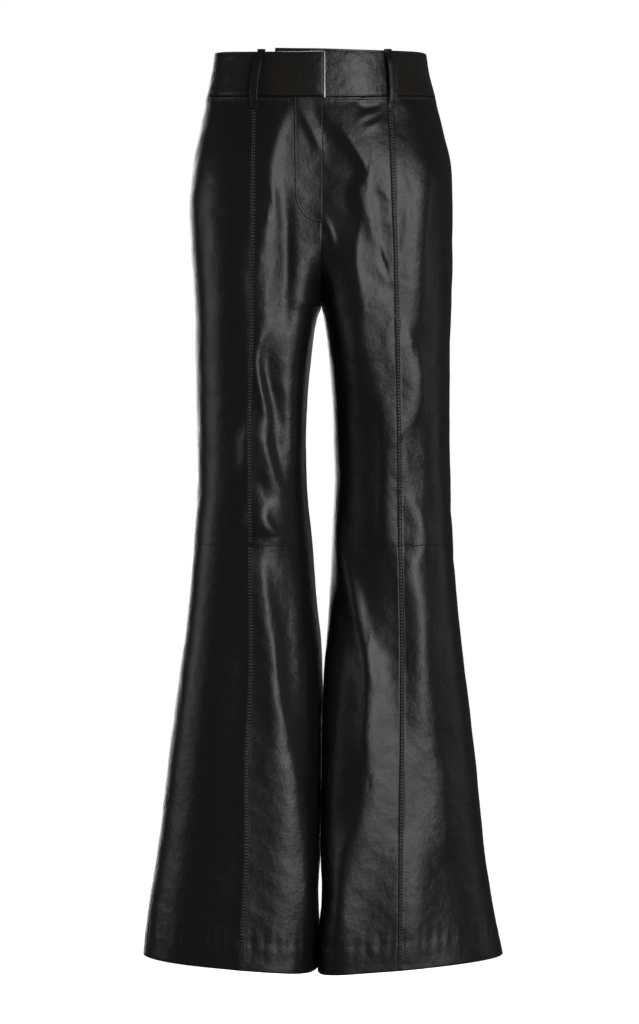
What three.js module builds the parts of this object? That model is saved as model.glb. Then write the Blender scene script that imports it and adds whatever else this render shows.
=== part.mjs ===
// High-waisted flared leather trousers, filled out as they are when worn.
// Millimetres, +Z up, the front faces -Y. Left and right are the wearer's, so right is at -X.
// The origin is the middle of the waist, about half way up the waistband.
import * as THREE from 'three';

// Driving dimensions
const LEATHER = 1.2; // one layer
const BAND_LEATHER = 2.4; // the waistband is two layers
const SEAM_GAP = 0.3; // clearance between pieces that are sewn together
const BAND_TOP = 24.5; // at the side seams, above the origin
const BAND_BOTTOM = -30;
const BAND_PROUD = 0.6; // how far the band stands out from the panels under it
const HIP_Z = -165;
const CROTCH_Z = -285;
const KNEE_SEAM_Z = -583;
const HEM_Z = -1097;
const FRONT_DIP = 10; // how far the waist dips at the centre front
const BACK_RISE = 8; // how far it rises at the centre back
const HEM_WIDTH = 220;
const HEM_TILT = 16; // how much lower the hem is at the inseam than at the side seam
const FRONT_RISE_CURVE = 75; // height of the curve of each rise seam, above the crotch
const BACK_RISE_CURVE = 120;
const ROUNDNESS = 2.12; // exponent of the back's outer halves, where 2 is an ellipse

const LEATHER_COLOUR = 0x1c1b1a;
const LEATHER_ROUGHNESS = 0.42;

// Sections down each leg: its outline seen from the front, the place of its front's crown, its
// depth before and behind, how square the front's outer half and the inner halves are, and the
// slope of the inner side from front to back, where the legs press together
const SECTIONS = table(
  ['z', 'outerRight', 'crownRight', 'innerRight', 'innerLeft', 'crownLeft', 'outerLeft',
    'front', 'back', 'side', 'outerRoundness', 'innerRoundnessRight', 'innerRoundnessLeft', 'tilt'],
  [
    [30, -133, 0, 0, 0, 0, 128.5, 86, 87, 0, 2.12, 3, 3, 0],
    [0, -137, 0, 0, 0, 0, 133, 90, 92, 0, 2.12, 3, 3, 0],
    [-30, -143, 0, 0, 0, 0, 141, 94, 98, 0, 2.2, 3, 3, 0],
    [-80, -153, -14, 0, 0, 24, 152.8, 101, 114, 2, 2.5, 3, 3, 0],
    [-120, -160, -26, 0, 0, 44, 160.5, 104, 128, 4, 2.8, 3, 3, 0],
    [-165, -164.5, -36, 0, 0, 54, 162, 105, 136, 6, 2.9, 3.2, 3.2, 0],
    [-220, -162, -46, 0, 0, 58, 161.8, 101, 130, 8, 2.9, 3.6, 3.4, 0],
    [-285, -158, -56, -0.2, 0.2, 60, 161, 94, 112, 8, 2.9, 3.8, 3.4, 0],
    [-300, -157.5, -60, -5.6, 3.2, 61, 160.5, 92, 108, 8, 2.9, 3.8, 3.4, 0],
    [-340, -157, -66, -11.8, 8, 68, 159.3, 88, 102, 8, 2.8, 3.8, 3, 0],
    [-400, -156, -70, -17.5, 12.2, 84, 159, 82, 94, 7, 2.6, 3.8, 2.6, 0],
    [-460, -154.5, -74, -19.3, 14.6, 92, 159, 76, 87, 6, 2.5, 3.6, 2.4, 0],
    [-515, -154.5, -74, -17.6, 15, 95, 160.2, 71, 82, 5, 2.5, 2.8, 2.2, 0],
    [-583, -159, -72, -11, 11.5, 96, 163, 68, 80, 4, 2.6, 2.2, 2.1, 0],
    [-640, -163.5, -66, -6.6, 9.2, 92, 166.8, 69, 80, 4, 2.8, 2.1, 2.1, 0],
    [-700, -169.5, -62, -0.4, 6, 84, 172.5, 71, 81, 4, 2.8, 2.1, 2.1, 0.07],
    [-740, -175, -62, 1.2, 2.8, 76, 177, 73, 82, 4, 2.8, 2.2, 2.2, 0.1],
    [-850, -189, -76, 0.7, 2, 60, 190, 78, 86, 3, 2.4, 3, 3, 0.1],
    [-960, -202.5, -88, -1.8, -0.3, 54, 201, 81, 89, 2, 2.2, 3.4, 3.6, 0.05],
    [-1005, -209.5, -92, -3.8, 0.2, 54, 207.5, 82, 90, 2, 2.2, 3.6, 4, 0],
    [-1050, -216, -94, -3.4, -1.9, 54, 215, 83, 90, 2, 2.2, 3.6, 4, 0.07],
    [-1100, -221, -96, -3.2, -2, 54, 225.5, 84, 90, 2, 2.2, 3.6, 4, 0.1],
  ],
);

// Distance from the centre front to the seam down the middle of each leg's front
const FRONT_SEAMS = table(
  ['z', 'right', 'left'],
  [
    [-30, 84.3, 80.7],
    [-165, 85, 84.9],
    [-285, 85.8, 88.5],
    [-460, 90, 91.6],
    [-583, 88.8, 93.2],
    [-700, 88.1, 95.4],
    [-765, 89.2, 95.5],
    [-830, 92.9, 95.3],
    [-890, 93.7, 94.6],
    [-964, 93.8, 93.4],
    [-1046, 98.2, 92.8],
    [-1100, 99.8, 92.3],
  ],
);

// The largest folds, each a soft ridge from one point to another, or a trough if its height
// is negative. The width is the distance in which it falls to about a third.
const FOLDS = table(
  ['panel', 'fromX', 'fromZ', 'toX', 'toZ', 'width', 'height'],
  [
    ['front', -12, -60, -14, -260, 26, -5],
    ['front', -46, -60, -64, -190, 14, 4.5],
    ['front', -66, -185, -76, -310, 18, 6],
    ['front', -42, -170, -45, -340, 11, -4.5],
    ['front', -74, -330, -72, -400, 11, 4.5],
    ['front', -68, -415, -41, -494, 15, 5],
    ['front', -58, -360, -32, -480, 13, -4.5],
    ['front', -72, -525, -71, -570, 18, 5],
    ['front', -76, -590, -54, -730, 16, 5],
    ['front', -46, -590, -26, -810, 13, -5],
    ['front', -48, -790, -27, -1080, 20, 5.5],
    ['front', 8, -58, 54, -130, 18, 6],
    ['front', 50, -140, 66, -214, 18, 5],
    ['front', 43, -190, 58, -400, 26, 6.5],
    ['front', 104, -60, 127, -140, 20, 7],
    ['front', 123, -170, 115, -322, 20, 7],
    ['front', 104, -326, 118, -420, 16, 5],
    ['front', 82, -410, 84, -585, 14, 5],
    ['front', 104, -522, 124, -590, 16, 5],
    ['front', 16, -570, 57, -746, 14, 8],
    ['front', 55, -740, 57, -860, 16, 5],
    ['front', 53, -850, 9, -1088, 24, 6],
    ['front', 103, -590, 126, -770, 17, 7],
    ['front', 136, -810, 147, -950, 20, 4],
    ['back', -30, -230, -118, -262, 13, 5],
    ['back', -34, -300, -112, -318, 12, -4],
    ['back', 30, -230, 116, -266, 13, 5],
    ['back', 36, -302, 110, -324, 12, -4],
    ['back', -96, -560, -50, -600, 15, -4],
    ['back', 92, -556, 48, -602, 15, -4],
    ['back', -80, -660, -100, -960, 22, 4],
    ['back', 84, -660, 96, -960, 22, 4],
  ],
);

const FLY = { edgeX: 1.1, topX: -33.5, curveX: -32, curveZ: -156, bottomZ: -193, tipWidth: 2, clear: 0.5 };

// Where the two front ends of the waistband lie over each other. The upper one comes forward
// over the length blend, and the lower one comes up beside it over the length rise.
const OVERLAP = { endX: 3.5, underEndX: -57, blend: 20, rise: 60, step: 1.5, underLift: 5.5 };

// A belt loop from its top to its bottom: its inner face off the band, and how far it leans
const LOOP = { width: 10, leather: 2 };
const LOOP_PROFILE = table(
  ['z', 'out', 'lean'],
  [
    [27.4, 1.3, 1],
    [21.5, 1.5, 0.95],
    [16, 6, 0.85],
    [9, 8.4, 0.7],
    [-4, 8.8, 0.46],
    [-18, 8.6, 0.22],
    [-30, 7.6, 0.08],
    [-38, 4.6, 0.02],
    [-43, 0.9, 0],
    [-47, 0.4, 0],
  ],
);
const BELT_LOOPS = table(
  ['name', 'panel', 'x', 'lean'],
  [
    ['belt_loop_front_right', 'front', -80.5, 8.4],
    ['belt_loop_front_left', 'front', 84.5, -5],
    ['belt_loop_back_right', 'back', -84, 2],
    ['belt_loop_back_centre', 'back', 0, 0],
    ['belt_loop_back_left', 'back', 84, -2],
  ],
);

// Rows of the panels, closer together round the crotch, and columns
const UPPER_ROWS = [
  ...steps(BAND_BOTTOM, -210, 8),
  ...riseRows(FRONT_RISE_CURVE, 5),
  ...steps(CROTCH_Z - 6, -320, 2),
  ...steps(-345, KNEE_SEAM_Z, 9),
];
const LOWER_ROWS = steps(KNEE_SEAM_Z, HEM_Z, 16);
const FRONT_INNER_COLUMNS = 9;
const FRONT_OUTER_COLUMNS = 7;
const BACK_COLUMNS = 13;
const BAND_ROWS = 3;
const BAND_COLUMN = 10; // length of one column of the waistband
const CURVE_POINTS = 40;

function table(columns, rows) {
  return rows.map((row) => Object.fromEntries(columns.map((name, i) => [name, row[i]])));
}

function steps(from, to, count) {
  return Array.from({ length: count + 1 }, (_, i) => from + ((to - from) * i) / count);
}

// Heights down the curve of a rise seam, at even angles
function riseRows(height, count) {
  const angles = steps(Math.PI * 0.42, 0, count);
  return angles.map((angle) => CROTCH_Z + height * (1 - Math.cos(angle)));
}

const { clamp, lerp, smoothstep } = THREE.MathUtils;

// Smooth value of one column of a table at height z. The rows run downwards.
function along(rows, key, z) {
  const last = rows.length - 1;
  let i = 0;
  while (i < last - 1 && z < rows[i + 1].z) i += 1;
  const slope = (k) => {
    const before = rows[Math.max(k - 1, 0)];
    const after = rows[Math.min(k + 1, last)];
    return (after[key] - before[key]) / (after.z - before.z);
  };
  const height = rows[i + 1].z - rows[i].z;
  const t = clamp((z - rows[i].z) / height, 0, 1);
  const start = rows[i][key] * (1 + 2 * t) * (1 - t) ** 2;
  const end = rows[i + 1][key] * t * t * (3 - 2 * t);
  const bend = slope(i) * t * (1 - t) ** 2 - slope(i + 1) * t * t * (1 - t);
  return start + end + height * bend;
}

// The outline of one leg's front or back half at height z, from the inner seam to the side seam.
// The side is -1 for the right and 1 for the left. Above the crotch the leg's own section would
// pass the middle of the body, and the rise seam cuts it off there.
const curves = new Map();

function halfCurve(side, panel, z) {
  const key = `${side} ${panel} ${z.toFixed(3)}`;
  if (!curves.has(key)) curves.set(key, makeHalfCurve(side, panel, z));
  return curves.get(key);
}

function makeHalfCurve(side, panel, z) {
  const name = side < 0 ? 'Right' : 'Left';
  const facing = panel === 'front' ? -1 : 1;
  const isLeg = z <= CROTCH_Z;
  const middle = along(SECTIONS, 'side', z);
  const depth = along(SECTIONS, panel, z) - facing * middle;
  const outer = side * along(SECTIONS, `outer${name}`, z);
  const inner = isLeg ? side * along(SECTIONS, `inner${name}`, z) : SEAM_GAP / 2;
  const legShare = 1 - smoothstep(z, CROTCH_Z, HIP_Z + 60);
  const crown = side * along(SECTIONS, `crown${name}`, z);
  const centre = panel === 'front' ? Math.max(crown, inner) : lerp(inner, (outer + inner) / 2, legShare);
  const outerRoundness = panel === 'front' ? along(SECTIONS, 'outerRoundness', z) : ROUNDNESS;
  const innerRoundness = along(SECTIONS, `innerRoundness${name}`, z);
  const innerTilt = along(SECTIONS, 'tilt', z);
  const riseCurve = panel === 'front' ? FRONT_RISE_CURVE : BACK_RISE_CURVE;
  const down = 1 - clamp((z - CROTCH_Z) / riseCurve, 0, 1);
  const cut = (1 - (1 - down * down) ** (innerRoundness / 2)) ** (1 / innerRoundness);

  const points = steps(-1, 1, CURVE_POINTS).map((t) => {
    const across = Math.sin((Math.PI / 2) * t);
    const isInner = across < 0;
    const power = isInner ? innerRoundness : outerRoundness;
    const share = Math.abs(across) * (isInner ? cut : 1);
    const reach = isInner ? centre - inner : outer - centre;
    const y = middle + facing * depth * Math.max(0, 1 - share ** power) ** (1 / power);
    const tilt = isInner ? innerTilt * (y - middle) * across ** 4 : 0;
    return { x: side * (centre + reach * across) + tilt, y, length: 0 };
  });
  for (let i = 1; i < points.length; i += 1) {
    const step = Math.hypot(points[i].x - points[i - 1].x, points[i].y - points[i - 1].y);
    points[i].length = points[i - 1].length + step;
  }
  return points;
}

function curveLength(side, panel, z) {
  return halfCurve(side, panel, z).at(-1).length;
}

// The place on a half outline where one of its values, the length or x, reaches a target
function onCurve(points, value, target) {
  let i = 1;
  while (i < points.length - 1 && value(points[i]) < target) i += 1;
  const from = value(points[i - 1]);
  const span = value(points[i]) - from;
  const t = span > 0 ? clamp((target - from) / span, 0, 1) : 0;
  const mix = (key) => lerp(points[i - 1][key], points[i][key], t);
  return { x: mix('x'), y: mix('y'), length: mix('length') };
}

function lengthAtX(side, panel, z, x) {
  return onCurve(halfCurve(side, panel, z), (point) => side * point.x, side * x).length;
}

// The waist dips in front and rises behind, and the hem is square to its slanted leg.
function lift(x, y, z) {
  const nearWaist = smoothstep(z, HIP_Z, BAND_BOTTOM);
  const share = y / along(SECTIONS, y < 0 ? 'front' : 'back', z);
  const wave = share * share * (y < 0 ? -FRONT_DIP : BACK_RISE);
  const nearHem = 1 - smoothstep(z, HEM_Z, CROTCH_Z);
  return nearWaist * wave + nearHem * HEM_TILT * (Math.abs(x) / HEM_WIDTH - 0.5);
}

function basePoint(side, panel, length, z) {
  const { x, y } = onCurve(halfCurve(side, panel, z), (point) => point.length, length);
  return new THREE.Vector3(x, y, z + lift(x, y, z));
}

function foldHeight(panel, x, z) {
  let height = 0;
  for (const fold of FOLDS.filter((row) => row.panel === panel)) {
    const dx = fold.toX - fold.fromX;
    const dz = fold.toZ - fold.fromZ;
    const reached = ((x - fold.fromX) * dx + (z - fold.fromZ) * dz) / (dx * dx + dz * dz);
    const t = clamp(reached, 0, 1);
    const away = Math.hypot(x - fold.fromX - dx * t, z - fold.fromZ - dz * t);
    const taper = 0.55 + 0.45 * Math.sin(Math.PI * t);
    height += fold.height * taper * Math.exp(-((away / fold.width) ** 2));
  }
  return height;
}

// A point of the garment at a length from the inner seam, moved out from the surface. Folds
// move it forwards or back, and fade out where the surface turns to the side.
function skin(side, panel, length, z, out) {
  const total = curveLength(side, panel, z);
  const aside = total * 0.02;
  const up = 4;
  const share = length / total;
  const before = basePoint(side, panel, Math.max(length - aside, 0), z);
  const after = basePoint(side, panel, Math.min(length + aside, total), z);
  const above = basePoint(side, panel, share * curveLength(side, panel, z + up), z + up);
  const below = basePoint(side, panel, share * curveLength(side, panel, z - up), z - up);
  const normal = after.sub(before).cross(above.sub(below)).normalize();
  if (side * (panel === 'front' ? 1 : -1) < 0) normal.negate();
  const point = basePoint(side, panel, length, z);
  const fold = foldHeight(panel, point.x, point.z) * smoothstep(Math.abs(normal.y), 0, 0.5);
  point.addScaledVector(normal, out);
  point.y += panel === 'front' ? -fold : fold;
  return point;
}

// A point of the waist, where the length is negative on the right of the centre front or back
function waistSkin(panel, length, z, out) {
  return skin(length < 0 ? -1 : 1, panel, Math.abs(length), z, out);
}

function waistLength(panel, z, x) {
  const side = x < 0 ? -1 : 1;
  return side * lengthAtX(side, panel, z, x);
}

// A closed wall between two grids of points with the same rows and columns
function wall(name, outside, inside) {
  const rows = outside.length;
  const columns = outside[0].length;
  const points = [...outside.flat(), ...inside.flat()];
  const at = (layer, row, column) => (layer * rows + row) * columns + column;
  const faces = [];
  const quad = (a, b, c, d) => faces.push(a, b, c, a, c, d);
  for (let r = 0; r + 1 < rows; r += 1) {
    for (let c = 0; c + 1 < columns; c += 1) {
      quad(at(0, r, c), at(0, r + 1, c), at(0, r + 1, c + 1), at(0, r, c + 1));
      quad(at(1, r, c), at(1, r, c + 1), at(1, r + 1, c + 1), at(1, r + 1, c));
    }
    const end = columns - 1;
    quad(at(0, r, 0), at(1, r, 0), at(1, r + 1, 0), at(0, r + 1, 0));
    quad(at(0, r, end), at(0, r + 1, end), at(1, r + 1, end), at(1, r, end));
  }
  for (let c = 0; c + 1 < columns; c += 1) {
    const end = rows - 1;
    quad(at(0, 0, c), at(0, 0, c + 1), at(1, 0, c + 1), at(1, 0, c));
    quad(at(0, end, c), at(1, end, c), at(1, end, c + 1), at(0, end, c + 1));
  }
  if (signedVolume(points, faces) < 0) faces.reverse();
  const positions = points.flatMap((point) => point.toArray());
  const geometry = new THREE.BufferGeometry();
  geometry.setAttribute('position', new THREE.Float32BufferAttribute(positions, 3));
  geometry.setIndex(faces);
  geometry.computeVertexNormals();
  const material = new THREE.MeshStandardMaterial({
    color: LEATHER_COLOUR,
    roughness: LEATHER_ROUGHNESS,
    metalness: 0,
  });
  const mesh = new THREE.Mesh(geometry, material);
  mesh.name = name;
  return mesh;
}

function signedVolume(points, faces) {
  let volume = 0;
  for (let i = 0; i < faces.length; i += 3) {
    const [a, b, c] = faces.slice(i, i + 3).map((index) => points[index]);
    volume += a.dot(b.clone().cross(c));
  }
  return volume;
}

// Leg panels. From and to give the lengths between which a panel lies at each height.
function legPanel(name, side, panel, rows, columns, from, to) {
  const levels = rows.map((z, r) => {
    if (r === 0) return z - SEAM_GAP / 2;
    return r === rows.length - 1 ? z + SEAM_GAP / 2 : z;
  });
  const grid = (out) => levels.map((z) => {
    const lengths = steps(from(z) + SEAM_GAP / 2, to(z) - SEAM_GAP / 2, columns);
    return lengths.map((length) => skin(side, panel, length, z, out));
  });
  return wall(name, grid(0), grid(-LEATHER));
}

function legPanels(side) {
  const hand = side < 0 ? 'right' : 'left';
  const inseam = () => 0;
  const seam = (z) => lengthAtX(side, 'front', z, side * along(FRONT_SEAMS, hand, z));
  const frontEnd = (z) => curveLength(side, 'front', z);
  const backEnd = (z) => curveLength(side, 'back', z);
  const cuts = [
    ['front_inner', 'front', FRONT_INNER_COLUMNS, inseam, seam],
    ['front_outer', 'front', FRONT_OUTER_COLUMNS, seam, frontEnd],
    ['back', 'back', BACK_COLUMNS, inseam, backEnd],
  ];
  return cuts.flatMap(([name, panel, columns, from, to]) => [
    legPanel(`${name}_upper_${hand}`, side, panel, UPPER_ROWS, columns, from, to),
    legPanel(`${name}_lower_${hand}`, side, panel, LOWER_ROWS, columns, from, to),
  ]);
}

// The J-shaped fly lies on the right front, and its straight edge covers the opening.
function fly() {
  const curveHeight = FLY.curveZ - FLY.bottomZ;
  const angles = steps(0, Math.PI / 2, 7);
  const straight = steps(BAND_BOTTOM - SEAM_GAP / 2, FLY.curveZ, 7);
  const levels = straight.map((z, i) => ({ z, x: lerp(FLY.topX, FLY.curveX, i / 7) }));
  const tipX = FLY.edgeX - FLY.tipWidth;
  for (const angle of angles.slice(1)) {
    const x = lerp(tipX, FLY.curveX, Math.cos(angle));
    levels.push({ z: FLY.curveZ - curveHeight * Math.sin(angle), x });
  }
  const grid = (out) => levels.map(({ z, x }) => {
    const lengths = steps(waistLength('front', z, x), waistLength('front', z, FLY.edgeX), 5);
    return lengths.map((length) => waistSkin('front', length, z, out));
  });
  return wall('fly_placket', grid(FLY.clear + LEATHER), grid(FLY.clear));
}

// One piece of the waistband. From and to give its ends as signed lengths at each height,
// and shape gives how far a point at x stands out and how far its top edge is raised.
function bandPiece(name, panel, from, to, shape) {
  const levels = steps(BAND_BOTTOM + SEAM_GAP / 2, BAND_TOP, BAND_ROWS);
  const columns = Math.round((to(0) - from(0)) / BAND_COLUMN);
  const grid = (out) => levels.map((z, r) => (
    steps(from(z), to(z), columns).map((length) => {
      const { x } = waistSkin(panel, length, z, 0);
      const { step, raise } = shape(x);
      const level = z + (raise * r) / BAND_ROWS;
      const shifted = length + waistLength(panel, level, x) - waistLength(panel, z, x);
      return waistSkin(panel, shifted, level, BAND_PROUD + step + out);
    })
  ));
  return wall(name, grid(0), grid(-BAND_LEATHER));
}

function waistband() {
  const sideSeam = (side, panel) => (z) => side * (curveLength(side, panel, z) - SEAM_GAP / 2);
  const atX = (x) => (z) => waistLength('front', z, x);
  const over = (x) => ({
    step: OVERLAP.step * smoothstep(x, OVERLAP.underEndX - OVERLAP.blend, OVERLAP.underEndX),
    raise: 0,
  });
  const under = (x) => ({
    step: -OVERLAP.step * (1 - smoothstep(x, OVERLAP.endX, OVERLAP.endX + OVERLAP.rise)),
    raise: OVERLAP.underLift * (1 - smoothstep(x, -20, 130)),
  });
  const plain = () => ({ step: 0, raise: 0 });
  return [
    bandPiece('waistband_right', 'front', sideSeam(-1, 'front'), atX(OVERLAP.endX), over),
    bandPiece('waistband_left', 'front', atX(OVERLAP.underEndX), sideSeam(1, 'front'), under),
    bandPiece('waistband_back', 'back', sideSeam(-1, 'back'), sideSeam(1, 'back'), plain),
  ];
}

function beltLoop({ name, panel, x, lean }) {
  const grid = (extra) => LOOP_PROFILE.map((row) => {
    const middle = waistLength(panel, row.z, x + lean * row.lean);
    const lengths = steps(middle - LOOP.width / 2, middle + LOOP.width / 2, 2);
    return lengths.map((length) => waistSkin(panel, length, row.z, row.out + extra));
  });
  return wall(name, grid(LOOP.leather), grid(0));
}

const trousers = new THREE.Group();
trousers.add(...legPanels(-1), ...legPanels(1), fly(), ...waistband());
trousers.add(...BELT_LOOPS.map(beltLoop));

export default trousers;
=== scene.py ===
# High-waisted flared leather trousers, filled out as they are when worn. Tables are in millimetres,
# objects in metres. +Z is up and the front faces -Y. Left and right are the wearer's, so right is at -X.
import bpy
import math
import numpy as np
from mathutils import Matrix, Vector


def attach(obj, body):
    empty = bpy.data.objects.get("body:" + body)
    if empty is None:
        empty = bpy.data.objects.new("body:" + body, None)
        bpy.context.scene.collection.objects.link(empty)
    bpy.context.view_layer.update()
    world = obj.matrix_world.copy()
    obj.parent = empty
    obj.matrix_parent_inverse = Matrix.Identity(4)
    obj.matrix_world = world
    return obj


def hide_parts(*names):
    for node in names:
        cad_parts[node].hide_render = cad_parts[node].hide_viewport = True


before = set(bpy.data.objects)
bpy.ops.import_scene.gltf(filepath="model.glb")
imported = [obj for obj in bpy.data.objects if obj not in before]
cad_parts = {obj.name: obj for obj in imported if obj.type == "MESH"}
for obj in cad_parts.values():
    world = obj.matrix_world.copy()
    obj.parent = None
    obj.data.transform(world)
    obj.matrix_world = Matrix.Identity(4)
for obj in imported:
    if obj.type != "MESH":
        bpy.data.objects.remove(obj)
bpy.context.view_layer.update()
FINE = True

MM = 0.001
LEATHER = 1.2
BAND_LEATHER = 2.4
SEAM_GAP = 0.3
SEWN_GAP = 0.04  # what is left open between two panels that are sewn together
BAND_TOP = 24.5
BAND_BOTTOM = -30
BAND_PROUD = 0.6
HIP_Z = -165
CROTCH_Z = -285
KNEE_SEAM_Z = -583
HEM_Z = -1097
FRONT_DIP = 10
BACK_RISE = 8
HEM_WIDTH = 220
HEM_TILT = 16
FRONT_RISE_CURVE = 75
BACK_RISE_CURVE = 120
ROUNDNESS = 2.12
CURVE_POINTS = 96

# Sections down each leg: outline from the front, place of the front crown, depths, how square the outer
# halves and the inner halves are, and the slope of the inner side where the legs press together
SECTION_COLUMNS = ["z", "outer_right", "inner_right", "inner_left", "outer_left",
                   "crown_right", "crown_left", "front", "back", "side",
                   "outer_roundness", "inner_roundness_right", "inner_roundness_left", "tilt"]
SECTIONS = np.array([
    [30, -133, 0, 0, 128.5, 0, 0, 86, 87, 0, 2.12, 3, 3, 0],
    [0, -137, 0, 0, 133, 0, 0, 90, 92, 0, 2.12, 3, 3, 0],
    [-30, -143, 0, 0, 141, 0, 0, 94, 98, 0, 2.2, 3, 3, 0],
    [-80, -153, 0, 0, 152.8, -14, 24, 101, 114, 2, 2.5, 3, 3, 0],
    [-120, -160, 0, 0, 160.5, -26, 44, 104, 128, 4, 2.8, 3, 3, 0],
    [-165, -164.5, 0, 0, 162, -36, 54, 105, 136, 6, 2.9, 3.2, 3.2, 0],
    [-220, -162, 0, 0, 161.8, -46, 58, 101, 130, 8, 2.9, 3.6, 3.4, 0],
    [-285, -158, -0.2, 0.2, 161, -56, 60, 94, 112, 8, 2.9, 3.8, 3.4, 0],
    [-300, -157.5, -5.6, 3.2, 160.5, -60, 61, 92, 108, 8, 2.9, 3.8, 3.4, 0],
    [-340, -157, -11.8, 8, 159.3, -66, 68, 88, 102, 8, 2.8, 3.8, 3, 0],
    [-400, -156, -17.5, 12.2, 159, -70, 84, 82, 94, 7, 2.6, 3.8, 2.6, 0],
    [-460, -154.5, -19.3, 14.6, 159, -74, 92, 76, 87, 6, 2.5, 3.6, 2.4, 0],
    [-515, -154.5, -17.6, 15, 160.2, -74, 95, 71, 82, 5, 2.5, 2.8, 2.2, 0],
    [-583, -159, -11, 11.5, 163, -72, 96, 68, 80, 4, 2.6, 2.2, 2.1, 0],
    [-640, -163.5, -6.6, 9.2, 166.8, -66, 92, 69, 80, 4, 2.8, 2.1, 2.1, 0],
    [-700, -169.5, -0.4, 6, 172.5, -62, 84, 71, 81, 4, 2.8, 2.1, 2.1, 0.07],
    [-740, -175, 1.2, 2.8, 177, -62, 76, 73, 82, 4, 2.8, 2.2, 2.2, 0.1],
    [-850, -189, 0.7, 2, 190, -76, 60, 78, 86, 3, 2.4, 3, 3, 0.1],
    [-960, -202.5, -1.8, -0.3, 201, -88, 54, 81, 89, 2, 2.2, 3.4, 3.6, 0.05],
    [-1005, -209.5, -3.8, 0.2, 207.5, -92, 54, 82, 90, 2, 2.2, 3.6, 4, 0],
    [-1050, -216, -3.4, -1.9, 215, -94, 54, 83, 90, 2, 2.2, 3.6, 4, 0.07],
    [-1100, -221, -3.2, -2, 225.5, -96, 54, 84, 90, 2, 2.2, 3.6, 4, 0.1],
], dtype=float)

# The seam down each leg's front, as its x
FRONT_SEAM_COLUMNS = ["z", "right", "left"]
FRONT_SEAMS = np.array([
    [-30, -84.3, 80.7],
    [-165, -85, 84.9],
    [-285, -85.8, 88.5],
    [-460, -90, 91.6],
    [-583, -88.8, 93.2],
    [-700, -88.1, 95.4],
    [-765, -89.2, 95.5],
    [-830, -92.9, 95.3],
    [-890, -93.7, 94.6],
    [-964, -93.8, 93.4],
    [-1046, -98.2, 92.8],
    [-1100, -99.8, 92.3],
], dtype=float)

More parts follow.
